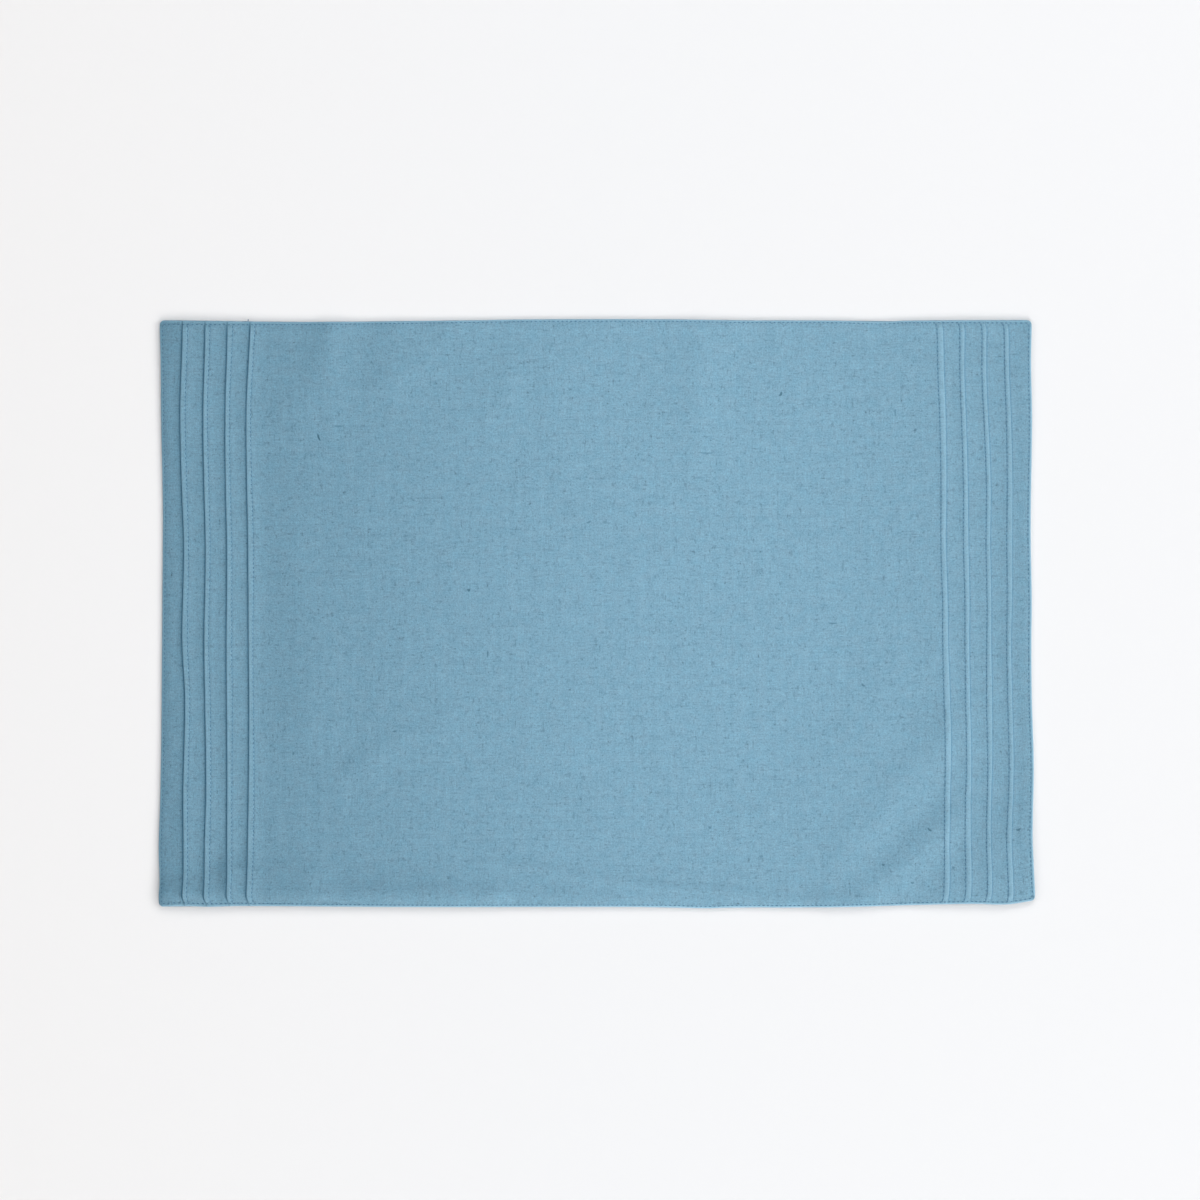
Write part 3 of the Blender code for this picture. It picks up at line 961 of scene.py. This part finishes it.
THREADS_PER_METRE = 2000.0
DEEPER_BLUE = (0.169, 0.324, 0.451, 1.0)  # the dye's two shades
PALER_BLUE = (0.189, 0.334, 0.457, 1.0)
WORN_AND_LIT_BLUE = (0.300, 0.495, 0.655, 1.0)  # where the cloth is rubbed, with painted sheen on rims and folds and painted light between the tucks
SLUB_BLUE = (0.052, 0.135, 0.200, 1.0)  # the larger slubs
PAINTED_SHADE_BLUE = (0.040, 0.215, 0.410, 1.0)  # painted shade deep in a seam, in the tuck slots and beside the folds
THREAD_BLUE = (0.048, 0.148, 0.262, 1.0)
THREAD_HIGHLIGHT = (0.092, 0.225, 0.355, 1.0)
WEAR_AND_LIGHT_PALES = 0.42  # how far full wear, painted sheen and painted light take the colour
# How far full painted shade takes the colour.
PAINTED_SHADE_DARKENS = 0.36

# Streaks of the yarns, counted to the metre across and along, and where each set starts.
YARNS = {
    # name: streaks a metre, offset
    "warp": ((1500.0, 150.0, 1.0), (0.0, 3.0, 0.0)),
    "weft": ((130.0, 1500.0, 1.0), (7.0, 0.0, 5.0)),
    "short_warp": ((1100.0, 420.0, 1.0), (2.0, 9.0, 11.0)),
    "short_weft": ((420.0, 1100.0, 1.0), (5.0, 1.0, 17.0)),
    "long_warp": ((420.0, 22.0, 1.0), (8.0, 6.0, 23.0)),
    "long_weft": ((22.0, 420.0, 1.0), (4.0, 2.0, 29.0)),
    "specks": ((1300.0, 1300.0, 1.0), (1.0, 4.0, 37.0)),
}


def sum_of(tree, parts):
    """Add up some values, each times its weight."""
    total = 1.0
    for value, weight in parts:
        total = calculate(tree, "MULTIPLY_ADD", value, weight, total)
    return total


def make_cloth(groups):
    """The blue slubby cloth."""
    material, tree, shader = start_material("slubby_blue_cloth")
    weave_map = add_node(tree, "ShaderNodeUVMap", uv_map="weave").outputs[0]
    place = add_node(tree, "ShaderNodeTexCoord").outputs["Object"]
    # The wear attribute: rubbing, painted sheen and painted light above 0, painted shade below 0.
    wear_and_painted_light = add_node(tree, "ShaderNodeAttribute", attribute_name="wear_and_painted_light").outputs["Fac"]

    yarns = {}
    for name, (scale, offset) in YARNS.items():
        inputs = {"Vector": weave_map, "Scale": scale, "Offset": offset}
        yarns[name] = use_group(tree, groups["yarn_streaks"], inputs)
    weave = use_group(tree, groups["plain_weave"],
                      {"Vector": weave_map, "Threads per metre": THREADS_PER_METRE})
    fuzz = use_group(tree, groups["fibre_grain"], {"Vector": weave_map, "Grain": 0.0003})["Fuzz"]
    grain = use_group(tree, groups["fibre_grain"], {"Vector": weave_map, "Grain": 0.0009})["Fuzz"]
    mottle = use_group(tree, groups["fibre_grain"], {"Vector": weave_map, "Grain": 0.008})["Fuzz"]
    drift = use_group(tree, groups["dye_drift"], {"Vector": weave_map, "Patch": 0.006})["Drift"]

    marks = 0.0
    for x, y, half_length, half_width, turn, strength in SLUBS:
        mask = use_group(tree, groups["slub_mark"], {
            "Vector": place, "Place": (x * MM, y * MM, 0.0), "Turn": radians(-turn),
            "Half length": half_length * MM, "Half width": half_width * MM,
        })["Mask"]
        marks = calculate(tree, "MAXIMUM", calculate(tree, "MULTIPLY", mask, strength), marks)

    dyed = mix_colours(tree, drift, DEEPER_BLUE, PALER_BLUE)
    tone = sum_of(tree, (
        (yarns["warp"]["Streak"], 0.05), (yarns["weft"]["Streak"], 0.05),
        (yarns["short_warp"]["Streak"], 0.035), (yarns["short_weft"]["Streak"], 0.035),
        (yarns["long_warp"]["Streak"], 0.032), (yarns["long_weft"]["Streak"], 0.025),
        # The weave's gaps darken the tone: painted shade between the threads.
        (mottle, 0.024), (grain, 0.17), (fuzz, 0.06), (weave["Shaded gap"], -0.12),
        (yarns["short_warp"]["Slub"], -0.20), (yarns["short_weft"]["Slub"], -0.20),
        (yarns["weft"]["Slub"], -0.08), (yarns["specks"]["Slub"], -0.30),
    ))
    toned = scale_vector(tree, dyed, tone)
    slubbed = mix_colours(tree, marks, toned, SLUB_BLUE)
    # Painted shade where the wear is below 0.
    painted_shade_share = calculate(tree, "MULTIPLY", wear_and_painted_light, -PAINTED_SHADE_DARKENS)
    with_painted_shade = mix_colours(tree, painted_shade_share, slubbed, PAINTED_SHADE_BLUE)
    # Rubbed pale, with painted sheen and painted light, where the wear is above 0.
    wear_and_light_share = calculate(tree, "MULTIPLY", wear_and_painted_light, WEAR_AND_LIGHT_PALES)
    worn_and_lit = mix_colours(tree, wear_and_light_share, with_painted_shade, WORN_AND_LIT_BLUE)
    tree.links.new(worn_and_lit, shader.inputs["Base Color"])

    rough = calculate(tree, "MULTIPLY_ADD", fuzz, 0.04, 0.90)
    tree.links.new(rough, shader.inputs["Roughness"])
    relief = sum_of(tree, (
        (weave["Relief"], 1.0), (fuzz, 0.25),
        (yarns["short_warp"]["Slub"], 0.4), (yarns["short_weft"]["Slub"], 0.4),
        (yarns["warp"]["Streak"], 0.15), (yarns["weft"]["Streak"], 0.15),
    ))
    raise_relief(tree, shader, relief, 0.12 * MM)
    shader.inputs["Metallic"].default_value = 0.0
    shader.inputs["Specular IOR Level"].default_value = 0.25
    shader.inputs["Sheen Weight"].default_value = 0.12
    shader.inputs["Sheen Roughness"].default_value = 0.6
    return material


def make_thread(groups):
    """The darker sewing thread, twisted from plies."""
    material, tree, shader = start_material("blue_sewing_thread")
    along = add_node(tree, "ShaderNodeUVMap", uv_map="along_thread").outputs[0]
    place = add_node(tree, "ShaderNodeTexCoord").outputs["Object"]
    parts = add_node(tree, "ShaderNodeSeparateXYZ", {0: along})
    turns = calculate(tree, "MULTIPLY_ADD", parts.outputs["Y"], 4.0, parts.outputs["X"])
    wave = calculate(tree, "SINE", calculate(tree, "MULTIPLY", turns, 4.0 * pi))
    plies = calculate(tree, "ABSOLUTE", wave)
    fuzz = use_group(tree, groups["fibre_grain"], {"Vector": place, "Grain": 0.00015})["Fuzz"]
    drift = use_group(tree, groups["dye_drift"], {"Vector": place, "Patch": 0.02})["Drift"]
    shine = calculate(tree, "MULTIPLY_ADD", plies, 0.45, calculate(tree, "MULTIPLY", drift, 0.3))
    twisted = mix_colours(tree, shine, THREAD_BLUE, THREAD_HIGHLIGHT)
    toned = scale_vector(tree, twisted, calculate(tree, "MULTIPLY_ADD", fuzz, 0.08, 1.0))
    tree.links.new(toned, shader.inputs["Base Color"])
    tree.links.new(calculate(tree, "MULTIPLY_ADD", fuzz, 0.05, 0.62), shader.inputs["Roughness"])
    relief = calculate(tree, "MULTIPLY_ADD", fuzz, 0.2, plies)
    raise_relief(tree, shader, relief, 0.05 * MM)
    shader.inputs["Metallic"].default_value = 0.0
    shader.inputs["Specular IOR Level"].default_value = 0.4
    shader.inputs["Sheen Weight"].default_value = 0.1
    return material


# --- The table, the light and the camera ---------------------------------------------------

FLOOR_HALF_SIZE = 12.0
FLOOR_GAP = 0.05 * MM  # keeps the floor clear of the mat's underside
FLOOR_PALE = (0.80, 0.80, 0.80, 1.0)
FLOOR_LEFT = (0.812, 0.80, 0.789, 1.0)  # a little warmer at the picture's left side
FLOOR_FADE = 0.33  # from the left side to the middle

ROOM_COLOUR = (0.90, 0.97, 1.0, 1.0)
ROOM_STRENGTH = 0.12
MIDDLE = (0.0, 0.0, 0.0)
MAT_LIGHTS = (
    # name, place, target, size, watts, colour
    ("mat_room_light", (0.0, 0.0, 2.0), MIDDLE, (4.0, 4.0), 17.6, (0.31, 0.865, 1.0)),
    ("mat_strip_light", (0.07, 0.10, 0.4), (0.07, 0.10, 0.0), (0.3, 1.2), 2.62, (1.0, 0.93, 0.865)),
    ("mat_side_light", (3.0, -2.1, 1.25), MIDDLE, (1.2, 1.2), 150.0, (1.0, 0.945, 0.86)),
)
FLOOR_LIGHT_COLOUR = (0.985, 0.985, 1.0)
FLOOR_LIGHTS = (
    # name, place, size, watts
    ("floor_box_right", (2.4, 0.0, 2.4), (1.6, 1.6), 40.5),
    ("floor_box_far", (0.3, 1.6, 1.7), (1.2, 1.2), 19.1),
    ("floor_box_near", (0.3, -1.6, 1.7), (1.2, 1.2), 20.3),
    ("floor_box_left", (-1.6, 0.0, 1.7), (1.2, 1.2), 9.4),
)
CEILING_STRENGTH = 0.72
CEILING_ANGLE = radians(120.0)


def make_floor():
    """Lay a plain pale floor under the mat."""
    mesh = bmesh.new()
    bmesh.ops.create_grid(mesh, x_segments=1, y_segments=1, size=FLOOR_HALF_SIZE)
    bmesh.ops.translate(mesh, verts=mesh.verts, vec=(0.0, 0.0, -FLOOR_GAP))
    shape = bpy.data.meshes.new("floor")
    mesh.to_mesh(shape)
    mesh.free()
    material, tree, shader = start_material("pale_floor")
    place = add_node(tree, "ShaderNodeTexCoord").outputs["Object"]
    parts = add_node(tree, "ShaderNodeSeparateXYZ", {0: place})
    share = spread(tree, parts.outputs["X"], -FLOOR_FADE, 0.0, 0.0, 1.0)
    shade = mix_colours(tree, share, FLOOR_LEFT, FLOOR_PALE)
    tree.links.new(shade, shader.inputs["Base Color"])
    shader.inputs["Roughness"].default_value = 0.9
    shader.inputs["Specular IOR Level"].default_value = 0.1
    shape.materials.append(material)
    floor = bpy.data.objects.new("floor", shape)
    bpy.context.scene.collection.objects.link(floor)
    return floor


def aim(thing, place, target):
    """Put a light or camera at a place and turn it to a target."""
    thing.location = place
    thing.rotation_mode = "QUATERNION"
    thing.rotation_quaternion = (Vector(target) - Vector(place)).to_track_quat("-Z", "Y")


def light_only(light, lit):
    """Let a light fall only on some things."""
    receivers = bpy.data.collections.new(light.name + "_receivers")
    for piece in lit:
        receivers.objects.link(piece)
    light.light_linking.receiver_collection = receivers


def make_soft_light(name, place, target, size, power, colour, lit):
    """Hang a soft box, which lights only what it is given."""
    lamp = bpy.data.lights.new(name, "AREA")
    lamp.shape = "RECTANGLE"
    lamp.size, lamp.size_y = size
    lamp.energy = power
    lamp.color = colour
    light = bpy.data.objects.new(name, lamp)
    bpy.context.scene.collection.objects.link(light)
    light.visible_camera = False
    aim(light, place, target)
    light_only(light, lit)


def make_ceiling_light(floor):
    """Light the whole floor from straight above, as a wide pale ceiling would."""
    lamp = bpy.data.lights.new("floor_ceiling_light", "SUN")
    lamp.energy = CEILING_STRENGTH
    lamp.color = FLOOR_LIGHT_COLOUR
    lamp.angle = CEILING_ANGLE
    light = bpy.data.objects.new("floor_ceiling_light", lamp)
    bpy.context.scene.collection.objects.link(light)
    light_only(light, [floor])


def make_light(pieces, floor):
    """Light the mat from above and from low on the near right, and the floor from all round."""
    world = bpy.data.worlds.new("soft_room")
    bpy.context.scene.world = world
    world.use_nodes = True
    room = world.node_tree.nodes["Background"]
    room.inputs["Color"].default_value = ROOM_COLOUR
    room.inputs["Strength"].default_value = ROOM_STRENGTH
    for name, place, target, size, power, colour in MAT_LIGHTS:
        make_soft_light(name, place, target, size, power, colour, pieces)
    make_ceiling_light(floor)
    for name, place, size, power in FLOOR_LIGHTS:
        make_soft_light(name, place, MIDDLE, size, power, FLOOR_LIGHT_COLOUR, [floor])


def make_camera(place):
    """Look straight down on the mat from far above."""
    data = bpy.data.cameras.new("camera")
    data.sensor_width = SENSOR_WIDTH
    data.lens = SENSOR_WIDTH * CAMERA_HEIGHT / PICTURE_WIDTH
    data.clip_start = 0.01
    data.clip_end = 20.0
    camera = bpy.data.objects.new("camera", data)
    bpy.context.scene.collection.objects.link(camera)
    camera.location = PICTURE_CENTRE + place + Vector((0.0, 0.0, CAMERA_HEIGHT))
    bpy.context.scene.camera = camera


def main():
    """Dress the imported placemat."""
    place = find_place()
    groups = {
        "yarn_streaks": make_yarn_streaks(),
        "plain_weave": make_plain_weave(),
        "slub_mark": make_slub_mark(),
        "dye_drift": make_dye_drift(),
        "fibre_grain": make_fibre_grain(),
    }
    cloth = make_cloth(groups)
    thread = make_thread(groups)
    mat = make_mat(place, cloth)
    stitching = [
        make_edge_stitching("edge_stitching_face", place, thread, face_point, 1.0, seed=11),
        make_edge_stitching(
            "edge_stitching_underside", place, thread, underside_point, -1.0, seed=12
        ),
        make_tuck_stitching("tuck_stitching_left", place, thread, side=-1, seed=13),
        make_tuck_stitching("tuck_stitching_right", place, thread, side=1, seed=14),
    ]
    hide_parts("placemat")
    floor = make_floor()
    make_light([mat] + stitching, floor)
    make_camera(place)
    bpy.context.scene.view_settings.view_transform = "Standard"


main()
